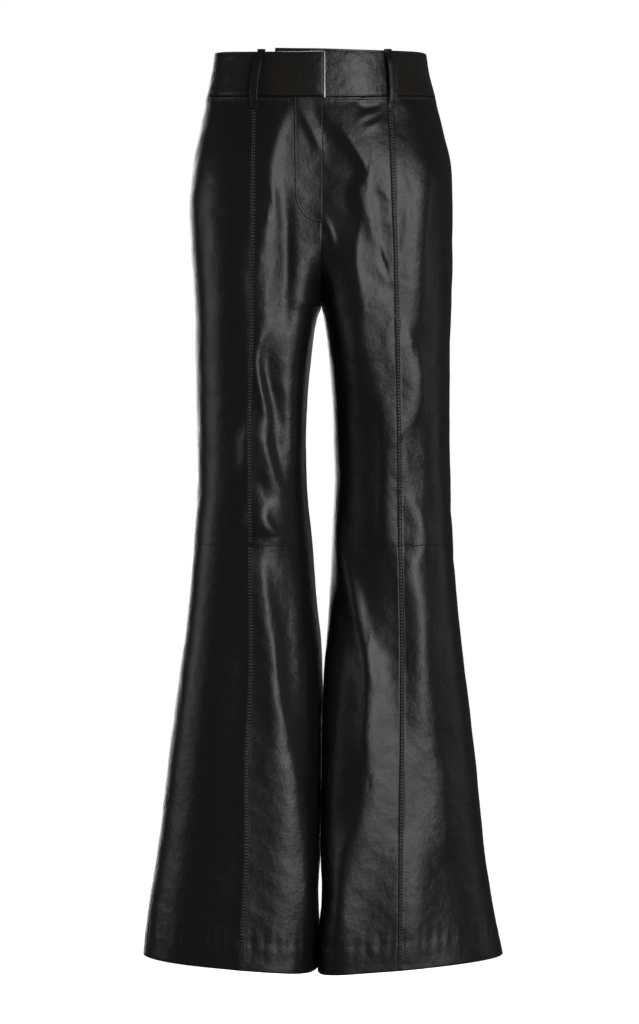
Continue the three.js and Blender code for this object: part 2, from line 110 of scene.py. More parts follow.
# Folds as ridges, or troughs where the height is negative: places (x, z) from top to bottom, the widths
# on the left and the right of that path as seen from the front, for the back's folds too, and the height
FRONT_FOLDS = [
    ([(-8, -59), (-10, -118), (-12, -190), (-8, -262)], 32, 22, -2.8),
    ([(-12, -250), (-12, -300), (-17, -350)], 14, 10, 3),
    ([(-38, -47), (-48, -68), (-56, -95), (-60, -120), (-62, -164), (-68, -200), (-71, -228)], 15, 11, 3.8),
    ([(-70, -202), (-74, -230), (-77, -277), (-74, -316), (-72, -345)], 14, 24, 5.5),
    ([(-43, -160), (-42, -210), (-42, -250), (-43, -280), (-44, -318)], 11, 8, -3.6),
    ([(-72, -323), (-77, -349), (-76, -375), (-68, -410), (-58, -445)], 10, 7, 5),
    ([(-76, -430), (-68, -464), (-60, -496), (-52, -520)], 14, 8, 3.5),
    ([(-86, -428), (-92, -465), (-89, -508)], 10, 34, 5),
    ([(-71, -348), (-68, -376), (-60, -418), (-54, -461), (-46, -503)], 7, 15, -4.5),
    ([(-72, -527), (-72, -549), (-71, -572)], 18, 22, 5),
    ([(-72, -533), (-69, -554), (-55, -569), (-42, -574)], 22, 8, 4),
    ([(-75, -586), (-74, -616), (-68, -655), (-59, -695), (-56, -718)], 24, 11, 5),
    ([(-46, -590), (-43, -640), (-40, -700), (-34, -760), (-25, -820)], 20, 14, -4.5),
    ([(-60, -695), (-54, -739), (-50, -774), (-42, -814)], 20, 7, 4.5),
    ([(-49, -788), (-43, -814), (-34, -855), (-24, -896), (-19, -951), (-18, -998), (-19, -1048),
      (-23, -1087)], 34, 12, 4.6),
    ([(-15, -900), (-12, -951), (-12, -1010), (-14, -1090)], 12, 8, 5),
    ([(-27, -52), (-21, -64), (-9, -88), (-2, -106)], 6, 8, 2.6),
    ([(5, -50), (11, -65), (27, -85), (41, -106), (54, -127), (54, -140), (47, -158), (53, -177),
      (62, -195), (69, -216)], 12, 45, 5.5),
    ([(20, -76), (34, -95), (47, -116), (55, -132), (52, -148)], 4, 5, 1),
    ([(51, -166), (46, -200), (42, -226), (40, -251), (45, -274), (50, -298), (51, -321), (48, -352),
      (49, -382), (56, -410)], 20, 40, 6.5),
    ([(49, -182), (45, -204), (42, -226), (43, -250), (48, -280), (53, -306)], 4, 5, 1),
    ([(104, -54), (115, -75), (124, -95), (130, -117), (131, -147), (128, -177), (123, -214), (119, -274),
      (114, -322)], 26, 13, 6.5),
    ([(84, -44), (104, -47), (126, -54)], 16, 16, 3.5),
    ([(60, -128), (66, -165), (72, -205), (78, -240)], 8, 12, -1.5),
    ([(96, -128), (104, -170), (100, -214), (92, -240)], 7, 5, 0.9),
    ([(66, -150), (84, -166), (101, -170)], 4, 5, 0.7),
    ([(62, -238), (80, -262), (108, -270)], 5, 5, 0.7),
    ([(88, -300), (80, -330), (84, -362)], 6, 5, 0.8),
    ([(-66, -138), (-56, -170), (-54, -205)], 5, 5, 0.7),
    ([(-60, -250), (-68, -282), (-62, -330)], 5, 6, 0.8),
    ([(78, -50), (61, -59), (43, -71)], 5, 5, 2),
    ([(80, -64), (66, -74), (51, -79)], 5, 5, 2),
    ([(40, -46), (54, -54), (79, -50)], 4, 4, -2),
    ([(3, -188), (12, -208), (13, -222)], 4, 4, 1.8),
    ([(76, -406), (76, -455), (76, -485), (76, -515), (76, -554), (80, -588)], 10, 16, 5),
    ([(98, -425), (98, -460), (99, -490), (103, -520)], 14, 14, 4),
    ([(101, -324), (111, -341), (118, -358), (122, -380), (120, -406), (114, -423), (105, -438)], 26, 10, 6),
    ([(99, -518), (110, -532), (121, -549), (126, -566), (125, -586), (117, -600)], 20, 10, 3.5),
    ([(6, -540), (16, -575), (27, -612), (38, -655), (48, -700), (57, -746)], 12, 13, 9),
    ([(56, -712), (56, -758), (54, -804), (58, -854)], 10, 20, 5),
    ([(54, -804), (56, -854), (50, -908), (33, -951), (20, -999), (13, -1048), (5, -1091)], 16, 36, 6.5),
    ([(23, -985), (21, -1040), (18, -1091)], 8, 14, 3),
    ([(108, -585), (112, -619), (121, -655), (124, -697), (126, -736), (129, -774), (136, -814)], 24, 20, 7),
    ([(132, -801), (141, -837), (149, -867), (151, -897), (149, -934), (139, -966)], 26, 14, 4),
    ([(112, -930), (113, -985), (110, -1040), (108, -1092)], 40, 28, 5.5),
]
BACK_FOLDS = [
    ([(-24, -222), (-70, -248), (-122, -262)], 12, 12, 3.5),
    ([(-30, -298), (-70, -314), (-116, -318)], 11, 11, -3.2),
    ([(-60, -345), (-96, -352), (-126, -346)], 9, 9, 2),
    ([(26, -224), (74, -252), (120, -268)], 12, 12, 3.5),
    ([(32, -300), (74, -320), (112, -326)], 11, 11, -3.2),
    ([(56, -350), (92, -360), (124, -352)], 9, 9, 2),
    ([(-60, -60), (-76, -110), (-70, -170)], 14, 14, 2),
    ([(64, -58), (80, -104), (76, -164)], 14, 14, 2),
    ([(-110, -540), (-80, -566), (-44, -574)], 10, 10, -3),
    ([(-118, -590), (-84, -604), (-50, -622)], 10, 10, -2.4),
    ([(112, -536), (80, -560), (46, -572)], 10, 10, -3),
    ([(116, -588), (84, -606), (50, -618)], 10, 10, -2.4),
    ([(-84, -380), (-88, -450), (-82, -520)], 14, 14, 2.4),
    ([(88, -384), (92, -456), (84, -524)], 14, 14, 2.4),
    ([(-76, -650), (-84, -760), (-98, -900), (-110, -1010)], 15, 15, 3.5),
    ([(-40, -700), (-44, -820), (-56, -960)], 12, 12, -2.4),
    ([(-136, -740), (-150, -860), (-164, -980)], 12, 12, -2.4),
    ([(80, -650), (86, -770), (96, -890), (104, -1000)], 15, 15, 3.5),
    ([(42, -690), (46, -830), (50, -950)], 12, 12, -2.4),
    ([(140, -730), (152, -850), (170, -990)], 12, 12, -2.4),
]
# Folds over the side seams: their places are (distance from the seam, z), with the front below 0
SIDE_FOLDS = [
    ([(-60, -70), (-20, -104), (30, -150)], 14, 14, 0.8),
    ([(-40, -215), (0, -250), (50, -270)], 14, 14, 0.8),
    ([(-34, -520), (0, -545), (36, -560)], 9, 9, -0.9),
    ([(-30, -590), (0, -606), (30, -612)], 9, 9, -0.8),
    ([(-18, -680), (-6, -820), (4, -960)], 12, 12, 0.8),
    ([(24, -300), (18, -380), (26, -470)], 12, 12, 0.8),
]

FLY = {"edge_x": 1.1, "top_x": -33.5, "curve_x": -32.0, "curve_z": -156.0, "bottom_z": -193.0,
       "tip_width": 2.0}
OVERLAP = {"end_x": 3.5, "under_end_x": -57.0, "blend": 20.0, "rise": 60.0, "step": 1.5,
           "under_lift": 5.5, "end_lift": 3}
LOOP_WIDTH = 10.0
LOOP_LEATHER = 2.0
LOOP_PROFILE = np.array([  # height, inner face off the band, lean
    [27.4, 1.3, 1],
    [21.5, 1.5, 0.95],
    [16, 6, 0.85],
    [9, 8.4, 0.7],
    [-4, 8.8, 0.46],
    [-18, 8.6, 0.22],
    [-30, 7.6, 0.08],
    [-38, 4.6, 0.02],
    [-43, 0.9, 0],
    [-47, 0.4, 0],
], dtype=float)
BELT_LOOPS = [  # name, panel, x, lean
    ("belt_loop_front_right", "front", -80.5, 8.4),
    ("belt_loop_front_left", "front", 84.5, -5.0),
    ("belt_loop_back_right", "back", -84.0, 2.0),
    ("belt_loop_back_centre", "back", 0.0, 0.0),
    ("belt_loop_back_left", "back", 84.0, -2.0),
]


def smoothstep(x, low, high):
    t = np.clip((np.asarray(x, dtype=float) - low) / (high - low), 0, 1)
    return t * t * (3 - 2 * t)


def along(rows, columns, name, z):
    """Smooth value of one column of a table at heights z. The rows run downwards."""
    heights, values = rows[:, 0], rows[:, columns.index(name)]
    slopes = np.empty(len(heights))
    slopes[1:-1] = (values[2:] - values[:-2]) / (heights[2:] - heights[:-2])
    slopes[0] = (values[1] - values[0]) / (heights[1] - heights[0])
    slopes[-1] = (values[-1] - values[-2]) / (heights[-1] - heights[-2])
    z = np.clip(np.asarray(z, dtype=float), heights[-1], heights[0])
    i = np.clip(np.searchsorted(-heights, -z, side="right") - 1, 0, len(heights) - 2)
    span = heights[i + 1] - heights[i]
    t = (z - heights[i]) / span
    ends = values[i] * (1 + 2 * t) * (1 - t) ** 2 + values[i + 1] * t * t * (3 - 2 * t)
    return ends + span * (slopes[i] * t * (1 - t) ** 2 - slopes[i + 1] * t * t * (1 - t))


def section(name, z):
    return along(SECTIONS, SECTION_COLUMNS, name, z)


def half_outlines(side, panel, z):
    """Outlines of one leg's front or back half at heights z, from the inner seam to the side seam."""
    z = np.atleast_1d(np.asarray(z, dtype=float))[:, None]
    hand = "right" if side < 0 else "left"
    facing = -1 if panel == "front" else 1
    middle = section("side", z)
    depth = section(panel, z) - facing * middle
    outer = side * section(f"outer_{hand}", z)
    inner = np.where(z <= CROTCH_Z, side * section(f"inner_{hand}", z), SEWN_GAP / 2)
    leg_share = 1 - smoothstep(z, CROTCH_Z, HIP_Z + 60)
    crown = side * section(f"crown_{hand}", z) if panel == "front" else (outer + inner) / 2 * leg_share
    centre = np.maximum(crown, inner)
    inner_round = section(f"inner_roundness_{hand}", z)
    curve = FRONT_RISE_CURVE if panel == "front" else BACK_RISE_CURVE
    down = 1 - np.clip((z - CROTCH_Z) / curve, 0, 1)
    cut = np.maximum(1 - (1 - down * down) ** (inner_round / 2), 0) ** (1 / inner_round)
    across = np.sin(np.pi / 2 * np.linspace(-1, 1, CURVE_POINTS + 1))[None, :]
    is_inner = across < 0
    power = np.where(is_inner, inner_round, section("outer_roundness", z) if panel == "front" else ROUNDNESS)
    share = np.abs(across) * np.where(is_inner, cut, 1)
    reach = np.where(is_inner, centre - inner, outer - centre)
    y = middle + facing * depth * np.maximum(0, 1 - share ** power) ** (1 / power)
    tilt = np.where(is_inner, section("tilt", z) * (y - middle) * across ** 4, 0)
    x = side * (centre + reach * across) + tilt
    steps = np.hypot(np.diff(x, axis=1), np.diff(y, axis=1))
    lengths = np.concatenate([np.zeros((len(z), 1)), np.cumsum(steps, axis=1)], axis=1)
    return x, y, lengths


def curve_lengths(side, panel, z):
    return half_outlines(side, panel, z)[2][:, -1]


def length_at_x(side, panel, z, x):
    xs, _, lengths = half_outlines(side, panel, z)
    x = np.broadcast_to(x, len(xs))
    return np.array([np.interp(side * x[r], side * xs[r] + 1e-9 * np.arange(xs.shape[1]), lengths[r])
                     for r in range(len(xs))])


def lift(x, y, z):
    near_waist = smoothstep(z, HIP_Z, BAND_BOTTOM)
    share = y / np.where(y < 0, section("front", z), section("back", z))
    wave = share * share * np.where(y < 0, -FRONT_DIP, BACK_RISE)
    near_hem = 1 - smoothstep(z, HEM_Z, CROTCH_Z)
    return near_waist * wave + near_hem * HEM_TILT * (np.abs(x) / HEM_WIDTH - 0.5)


def base_points(side, panel, lengths, z):
    """Points of the plain form, for a row of lengths at each height."""
    xs, ys, cumulative = half_outlines(side, panel, z)
    x = np.array([np.interp(lengths[r], cumulative[r], xs[r]) for r in range(len(xs))])
    y = np.array([np.interp(lengths[r], cumulative[r], ys[r]) for r in range(len(xs))])
    height = np.broadcast_to(np.asarray(z, dtype=float)[:, None], x.shape)
    return np.stack([x, y, height + lift(x, y, height)], axis=-1)


def spline(points, per_span=8):
    """Catmull-Rom curve through the points."""
    p = np.array(points, dtype=float)
    p = np.vstack([2 * p[0] - p[1], p, 2 * p[-1] - p[-2]])
    result = []
    for i in range(1, len(p) - 2):
        t = np.linspace(0, 1, per_span, endpoint=False)[:, None]
        a, b, c, d = p[i - 1], p[i], p[i + 1], p[i + 2]
        result.append(0.5 * (2 * b + (c - a) * t + (2 * a - 5 * b + 4 * c - d) * t ** 2
                             + (3 * b - a - 3 * c + d) * t ** 3))
    return np.vstack(result + [p[-2:-1]])


def fold_heights(folds, x, z):
    total = np.zeros_like(x)
    for points, left, right, height in folds:
        path = spline(points)
        pad = 3 * max(left, right)
        near = ((x > path[:, 0].min() - pad) & (x < path[:, 0].max() + pad)
                & (z > path[:, 1].min() - pad) & (z < path[:, 1].max() + pad))
        if not near.any():
            continue
        px, pz = x[near], z[near]
        lengths = np.hypot(*np.diff(path, axis=0).T)
        starts = np.concatenate([[0], np.cumsum(lengths)])
        best, place, width = np.full(px.shape, 1e9), np.zeros(px.shape), np.ones(px.shape)
        for i, (a, b) in enumerate(zip(path[:-1], path[1:])):
            d = b - a
            t = np.clip(((px - a[0]) * d[0] + (pz - a[1]) * d[1]) / (d @ d), 0, 1)
            away = np.hypot(px - a[0] - d[0] * t, pz - a[1] - d[1] * t)
            is_left = d[0] * (pz - a[1]) - d[1] * (px - a[0]) < 0
            closer = away < best
            best = np.where(closer, away, best)
            width = np.where(closer, np.where(is_left, left, right), width)
            place = np.where(closer, (starts[i] + t * lengths[i]) / starts[-1], place)
        taper = 0.25 + 0.75 * np.sin(np.pi * place) ** 0.8
        total[near] += height * taper * np.exp(-((best / width) ** 2))
    return total


def unevenness(x, y, z):
    """Slight hand of the hide, up to about half a millimetre."""
    return (0.22 * np.sin(0.071 * x + 0.043 * z + 1.3) * np.sin(0.052 * z - 0.061 * y)
            + 0.2 * np.sin(0.113 * x - 0.031 * z + 0.03 * y) * np.sin(0.027 * z + 2.1)
            + 0.13 * np.sin(0.19 * x + 0.09 * z + 0.7) * np.sin(0.117 * z + 0.4 + 0.1 * y))


def relief(side, panel, lengths, z, base, normals):
    """How far the folds and the unevenness move the points of a grid. Folds of the front and back
    move them forwards or back, and fade out where the surface turns to the side."""
    total = curve_lengths(side, panel, z)[:, None]
    height = np.broadcast_to(np.asarray(z, dtype=float)[:, None], lengths.shape)
    facing = -1 if panel == "front" else 1
    from_side = (total - lengths) * facing
    folds = FRONT_FOLDS if panel == "front" else BACK_FOLDS
    forward = fold_heights(folds, base[..., 0].copy(), base[..., 2].copy())
    forward = forward * smoothstep(np.abs(normals[..., 1]), 0, 0.5)
    outward = fold_heights(SIDE_FOLDS, from_side.copy(), height.copy())
    outward = outward + unevenness(base[..., 0], base[..., 1], base[..., 2])
    shift = normals * outward[..., None]
    shift[..., 1] += facing * forward
    return shift


def grid_normals(points, side, panel):
    along_row = np.gradient(points, axis=1)
    down = np.gradient(points, axis=0)
    normals = np.cross(along_row, down)
    normals /= np.linalg.norm(normals, axis=-1, keepdims=True)
    return normals * (-side * (1 if panel == "front" else -1))


def graded(start, end, spacing, near_start, near_end):
    """Places from start to end, closer together at an end that is given its own offsets."""
    sign = 1 if end > start else -1
    low = [start + sign * d for d in near_start] or [start]
    high = [end - sign * d for d in near_end][::-1] or [end]
    count = max(int(abs(high[0] - low[-1]) / spacing), 2)
    return np.array(low[:-1] + list(np.linspace(low[-1], high[0], count + 1)) + high[1:])


# Offsets of the mesh lines from the edges of the pieces
EDGE = [0, 0.3, 0.7, 1.2, 1.9]
STITCHED = [0, 0.3, 0.7, 1.1, 1.5, 1.9, 2.5, 3.3, 3.7, 4.1, 4.6, 5.3, 6.2, 7.4]
HEM_EDGE = [0, 0.5, 1.2, 2.2]
BAND_EDGE = [0, 0.25, 0.6, 1.1, 1.7, 2.2, 2.7, 3.4]
FLY_EDGE = [0, 0.25, 0.6, 1.1, 1.8, 2.5]

STITCH_IN = 3.7  # distance of the topstitching from its seam
SECOND_ROW_IN = 1.5  # and of the second row that the seams down the front have
ROW_OFFSETS = (SECOND_ROW_IN, STITCH_IN)
KNEE_ROLL = 0.12  # the knee seam is pressed open and nearly flat
FRONT_SEAM_SHARES = {-1: 0.3, 1: 1.0}  # the seam down the right leg lies flatter than the left one
BAND_STITCH_IN = 2.2  # distance of the waistband's topstitching from its edges
FLY_STITCH_IN = 2.2
TURN_UP = 34  # height of the hem's turned-up leather
TURN_UP_LEATHER = 0.9  # and how much it adds inside
COLUMN_SPACING = 2.5 if FINE else 5  # between the mesh lines away from the edges
ROW_SPACING = 3.4 if FINE else 7
BAND_SPACING = 3.0


def roll(distance, depth=0.4):
    """The leather turns in at a sewn edge."""
    return -depth * np.exp(-((distance / 0.75) ** 2))


def topstitched(distance, rows=(STITCH_IN,)):
    """Doubled leather beside a seam, pulled in along each row of stitches."""
    height = 0.4 * smoothstep(distance, 0.2, 1.4) * (1 - smoothstep(distance, 4.4, 6.6))
    for row in rows:
        height = height - 0.5 * np.exp(-(((distance - row) / 0.6) ** 2))
    return height


def puckers(place, distance, reach=9, height=0.16):
    """Small ripples where a seam draws the leather in. Place runs along the seam."""
    wave = np.sin(0.62 * place + 1.7 * np.sin(0.071 * place)) * (0.6 + 0.4 * np.sin(0.113 * place + 1))
    return height * wave * np.exp(-distance / reach)


def hem_waves(place, above_hem):
    """The turned-up hem: a faint line at its top and small upright ripples in it."""
    line = -0.3 * np.exp(-(((above_hem - TURN_UP) / 1.3) ** 2))
    wave = np.sin(0.46 * place + 1.3 * np.sin(0.05 * place)) + 0.5 * np.sin(0.83 * place + 0.7)
    turned = 0.25 * (1 - smoothstep(above_hem, TURN_UP - 4, TURN_UP + 2))
    return line + turned + 0.26 * wave * np.exp(-((above_hem - TURN_UP) / 16) ** 2) * (above_hem < 90)


def mesh_object(name, verts, faces, materials, face_materials=None):
    mesh = bpy.data.meshes.new(name)
    mesh.from_pydata(verts.tolist(), [], faces)
    for material in materials:
        mesh.materials.append(material)
    mesh.polygons.foreach_set("use_smooth", np.ones(len(mesh.polygons), dtype=bool))
    if face_materials is not None:
        mesh.polygons.foreach_set("material_index", np.asarray(face_materials, dtype=np.int32))
    mesh.update()
    obj = bpy.data.objects.new(name, mesh)
    bpy.context.collection.objects.link(obj)
    return obj


def grid_faces(rows, cols, start, flip):
    r, c = np.meshgrid(np.arange(rows - 1), np.arange(cols - 1), indexing="ij")
    a = start + r * cols + c
    quads = np.stack([a, a + cols, a + cols + 1, a + 1], axis=-1).reshape(-1, 4)
    return quads[:, ::-1] if flip else quads


def wall(name, outside, inside, materials):
    """A closed wall between two grids of points, with its own material on the inside."""
    rows, cols = outside.shape[:2]
    count = rows * cols
    verts = np.concatenate([outside.reshape(-1, 3), inside.reshape(-1, 3)]) * MM
    outer = grid_faces(rows, cols, 0, False)
    inner = grid_faces(rows, cols, count, True)
    ring = np.concatenate([np.arange(cols), cols * np.arange(1, rows) + cols - 1,
                           count - 2 - np.arange(cols - 1), cols * np.arange(rows - 2, 0, -1)])
    after = np.roll(ring, -1)
    edge = np.stack([ring, after, after + count, ring + count], axis=-1)
    faces = np.concatenate([outer, inner, edge])
    tri = verts[outer[:, :3]]
    facing = np.einsum("ij,ij->", np.cross(tri[:, 1] - tri[:, 0], tri[:, 2] - tri[:, 0]),
                       (outside - inside).reshape(-1, 3)[outer[:, 0]] * MM)
    if facing < 0:
        faces = faces[:, ::-1]
    kinds = np.concatenate([np.zeros(len(outer)), np.ones(len(inner)), np.zeros(len(edge))])
    return mesh_object(name, verts, faces.tolist(), materials, kinds)


# Materials

def principled(name):
    material = bpy.data.materials.new(name)
    material.use_nodes = True
    tree = material.node_tree
    return material, tree, tree.nodes["Principled BSDF"]


def add(tree, kind, **inputs):
    node = tree.nodes.new(kind)
    for name, value in inputs.items():
        node.inputs[name].default_value = value
    return node


def ramp(tree, source, low, high, start, end):
    node = tree.nodes.new("ShaderNodeMapRange")
    node.inputs["From Min"].default_value = start
    node.inputs["From Max"].default_value = end
    node.inputs["To Min"].default_value = low
    node.inputs["To Max"].default_value = high
    tree.links.new(source, node.inputs["Value"])
    return node.outputs["Result"]


def colour_between(tree, source, dark, light, start, end):
    node = tree.nodes.new("ShaderNodeValToRGB")
    node.color_ramp.elements[0].position = start
    node.color_ramp.elements[1].position = end
    node.color_ramp.elements[0].color = (*dark, 1)
    node.color_ramp.elements[1].color = (*light, 1)
    tree.links.new(source, node.inputs["Fac"])
    return node.outputs["Color"]


def leather_material(name, dark, light, rough_low, rough_high, grain=1.0):
    material, tree, shader = principled(name)
    place = tree.nodes.new("ShaderNodeTexCoord").outputs["Object"]
    cloud = add(tree, "ShaderNodeTexNoise", Scale=22, Detail=4, Roughness=0.6)
    fine = add(tree, "ShaderNodeTexNoise", Scale=1400, Detail=2, Roughness=0.6)
    cells = tree.nodes.new("ShaderNodeTexVoronoi")
    cells.feature = "DISTANCE_TO_EDGE"
    cells.inputs["Scale"].default_value = 1100
    broad = add(tree, "ShaderNodeTexNoise", Scale=60, Detail=3, Roughness=0.55)
    for node in (cloud, fine, cells, broad):
        tree.links.new(place, node.inputs["Vector"])
    colour = colour_between(tree, cloud.outputs["Fac"], dark, light, 0.3, 0.75)
    roughness = ramp(tree, cloud.outputs["Fac"], rough_high, rough_low, 0.25, 0.75)
    tree.links.new(colour, shader.inputs["Base Color"])
    tree.links.new(roughness, shader.inputs["Roughness"])
    creases = tree.nodes.new("ShaderNodeMapRange")
    creases.inputs["From Max"].default_value = 0.18
    tree.links.new(cells.outputs["Distance"], creases.inputs["Value"])
    layers = None
    for source, distance, strength in ((broad.outputs["Fac"], 0.0012, 0.8),
                                       (creases.outputs["Result"], 0.00006, 0.45 * grain),
                                       (fine.outputs["Fac"], 0.00005, 0.3 * grain)):
        bump = tree.nodes.new("ShaderNodeBump")
        bump.inputs["Strength"].default_value = strength
        bump.inputs["Distance"].default_value = distance
        tree.links.new(source, bump.inputs["Height"])
        if layers:
            tree.links.new(layers, bump.inputs["Normal"])
        layers = bump.outputs["Normal"]
    tree.links.new(layers, shader.inputs["Normal"])
    shader.inputs["Specular IOR Level"].default_value = 0.5
    shader.inputs["IOR"].default_value = 1.5
    return material


LEATHER_MATERIAL = leather_material(
    "black_leather", (0.0085, 0.0081, 0.0076), (0.0125, 0.0119, 0.0111), 0.29, 0.38)
INSIDE_MATERIAL = leather_material(
    "leather_inside", (0.010, 0.0095, 0.009), (0.02, 0.019, 0.018), 0.85, 0.95, 2.5)
# Painted highlight: the thread is black, but it is given a grey colour that stands for the glints on its
# stitches
THREAD_GLINT_MATERIAL = leather_material(
    "black_thread_painted_glint", (0.12, 0.116, 0.11), (0.17, 0.165, 0.155), 0.28, 0.36, 0.5)
# Painted shade: a near-black colour for the shadow in the needle holes between the stitches
NEEDLE_HOLE_SHADE_MATERIAL = leather_material(
    "needle_hole_painted_shade", (0.002, 0.002, 0.002), (0.003, 0.003, 0.003), 0.85, 0.95, 0.5)
EDGE_MATERIAL = leather_material(
    "pale_edge", (0.84, 0.83, 0.8), (0.94, 0.93, 0.9), 0.5, 0.6, 0.5)
BAND_MATERIAL = leather_material(
    "band_leather", (0.0125, 0.0115, 0.0102), (0.021, 0.019, 0.0168), 0.22, 0.31)
COATS = [LEATHER_MATERIAL, INSIDE_MATERIAL]
BAND_COATS = [BAND_MATERIAL, INSIDE_MATERIAL]


# Leg panels

def seam_lengths(side, z):
    hand = "right" if side < 0 else "left"
    return length_at_x(side, "front", z, along(FRONT_SEAMS, FRONT_SEAM_COLUMNS, hand, z))


def panel_grid(start, end, near_start, near_end):
    """Lengths across each row, with the mesh lines at both edges at fixed distances."""
    width = (end - start).mean()
    plan = graded(0, width, COLUMN_SPACING, near_start, near_end)
    low, high = near_start[-1], near_end[-1]
    share = np.clip((plan - low) / (width - high - low), 0, 1)[None, :]
    stretch = ((end - start) - width)[:, None]
    return start[:, None] + plan[None, :] + stretch * share


def leg_panel(name, side, panel, level, part):
    upper = level == "upper"
    top, bottom = (BAND_BOTTOM, KNEE_SEAM_Z) if upper else (KNEE_SEAM_Z, HEM_Z)
    near_top = STITCHED if upper else EDGE
    near_bottom = EDGE if upper else HEM_EDGE
    z = graded(top - SEWN_GAP / 2, bottom + SEWN_GAP / 2, ROW_SPACING, near_top, near_bottom)
    seam = seam_lengths(side, z)
    total = curve_lengths(side, panel, z)
    inner_stitched, outer_stitched = stitched_sides(side)
    if part == "front_inner":
        start, end = np.full(len(z), SEWN_GAP / 2), seam - SEWN_GAP / 2
        edges = (EDGE, STITCHED if inner_stitched else EDGE)
    elif part == "front_outer":
        start, end = seam + SEWN_GAP / 2, total - SEWN_GAP / 2
        edges = (STITCHED if outer_stitched else EDGE, EDGE)
    else:
        start, end = np.full(len(z), SEWN_GAP / 2), total - SEWN_GAP / 2
        edges = (EDGE, EDGE)
    lengths = panel_grid(start, end, *edges)
    base = base_points(side, panel, lengths, z)
    normals = grid_normals(base, side, panel)
    at_centre = (1 - smoothstep(lengths, 0, 6)) * (z[:, None] > CROTCH_Z)
    normals[..., 0] *= 1 - at_centre
    folded = base + relief(side, panel, lengths, z, base, normals)
    height = seam_shape(side, panel, lengths, z, seam, total)
    from_start = lengths - start[:, None]
    from_end = end[:, None] - lengths
    from_top = (z[0] - z)[:, None]
    from_bottom = (z - z[-1])[:, None]
    at_seam, at_other_edge = (from_end, from_start) if part == "front_inner" else (from_start, from_end)
    share = FRONT_SEAM_SHARES[side] if panel == "front" else 1
    place = np.broadcast_to(-z[:, None], lengths.shape)
    detail = share * roll(at_seam) + roll(at_other_edge) + puckers(place + 40, at_other_edge, 8, 0.14)
    if panel == "front":
        detail += share * puckers(place, at_seam)
    if (part == "front_inner" and inner_stitched) or (part == "front_outer" and outer_stitched):
        detail += share * topstitched(at_seam, ROW_OFFSETS)
    if upper:
        detail += roll(from_top) + topstitched(from_top) + puckers(lengths, from_top, 10, 0.2)
        detail += roll(from_bottom, KNEE_ROLL)
    else:
        detail += roll(from_top, KNEE_ROLL)
        detail += hem_waves(lengths + 60 * side, from_bottom) - 0.35 * np.exp(-((from_bottom / 0.9) ** 2))
    outside = folded + normals * (height + detail)[..., None]
    inside = folded + normals * (height - LEATHER)[..., None]
    if not upper:
        turned = TURN_UP_LEATHER * (1 - smoothstep(from_bottom, TURN_UP - 2, TURN_UP + 1))
        inside = inside - normals * np.broadcast_to(turned, lengths.shape)[..., None]
    obj = wall(name, outside, inside, COATS)
    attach(obj, "root")
    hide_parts(name.removeprefix("cloth_"))


def stitched_sides(side):
    """On which side of the front seam its stitches lie: the inner panel's or the outer's."""
    return (side < 0, side > 0)


# How far the outer front panel falls away just outside the seam: height, then distance of its peak
SEAM_FALL_COLUMNS = ["z", "right", "left", "reach"]
SEAM_FALL = np.array([
    [-30, 0.6, 0.2, 22],
    [-165, 1.6, 0.4, 24],
    [-285, 2.4, 0.4, 26],
    [-460, 2.4, 0.4, 24],
    [-583, 2.0, 0.3, 22],
    [-700, 2.6, 0.4, 26],
    [-850, 3.2, 0.4, 30],
    [-1100, 3.2, 0.4, 34],
], dtype=float)


def seam_shape(side, panel, lengths, z, seam, total):
    """The leg's front turns at the seam, more on the right leg."""
    if panel != "front":
        return np.zeros_like(lengths)
    hand = "right" if side < 0 else "left"
    height = along(SEAM_FALL, SEAM_FALL_COLUMNS, hand, z)[:, None]
    reach = along(SEAM_FALL, SEAM_FALL_COLUMNS, "reach", z)[:, None]
    beyond = np.maximum(lengths - seam[:, None], 0) / reach
    fade = 1 - smoothstep(lengths, total[:, None] - 40, total[:, None])
    return -height * beyond * np.exp(1 - beyond) * fade


def make_legs():
    for side, hand in ((-1, "right"), (1, "left")):
        for part, panel in (("front_inner", "front"), ("front_outer", "front"), ("back", "back")):
            for level in ("upper", "lower"):
                leg_panel(f"cloth_{part}_{level}_{hand}", side, panel, level, part)


# The waist

def skin(panel, lengths, z, out, relief_share=1.0):
    """Points and normals on the garment for paths or grids, with lengths negative on the right."""
    shape = np.broadcast(lengths, z).shape
    flat_lengths = np.broadcast_to(lengths, shape).ravel().astype(float)
    flat_z = np.broadcast_to(z, shape).ravel().astype(float)
    points = np.zeros((len(flat_z), 3))
    normals = np.zeros((len(flat_z), 3))
    for side in (-1, 1):
        mine = flat_lengths < 0 if side < 0 else flat_lengths >= 0
        if not mine.any():
            continue
        l, h = np.abs(flat_lengths[mine]), flat_z[mine]
        total = curve_lengths(side, panel, h)
        l = np.minimum(l, total)
        aside = 1.2
        triple = np.stack([np.maximum(l - aside, 0), l, np.minimum(l + aside, total)], axis=1)
        row = base_points(side, panel, triple, h)
        share = l / total
        up, down = h + 2, h - 2
        above = base_points(side, panel, (share * curve_lengths(side, panel, up))[:, None], up)[:, 0]
        below = base_points(side, panel, (share * curve_lengths(side, panel, down))[:, None], down)[:, 0]
        normal = np.cross(row[:, 2] - row[:, 0], above - below)
        normal /= np.linalg.norm(normal, axis=1, keepdims=True)
        normal *= side * (1 if panel == "front" else -1)
        shift = relief(side, panel, l[:, None], h, row[:, 1:2], normal[:, None])[:, 0] * relief_share
        height = seam_shape(side, panel, l[:, None], h, seam_lengths(side, h), total)
        points[mine] = row[:, 1] + shift + normal * height
        normals[mine] = normal
    points = points.reshape(*shape, 3)
    normals = normals.reshape(*shape, 3)
    return points + normals * np.broadcast_to(out, shape)[..., None], normals


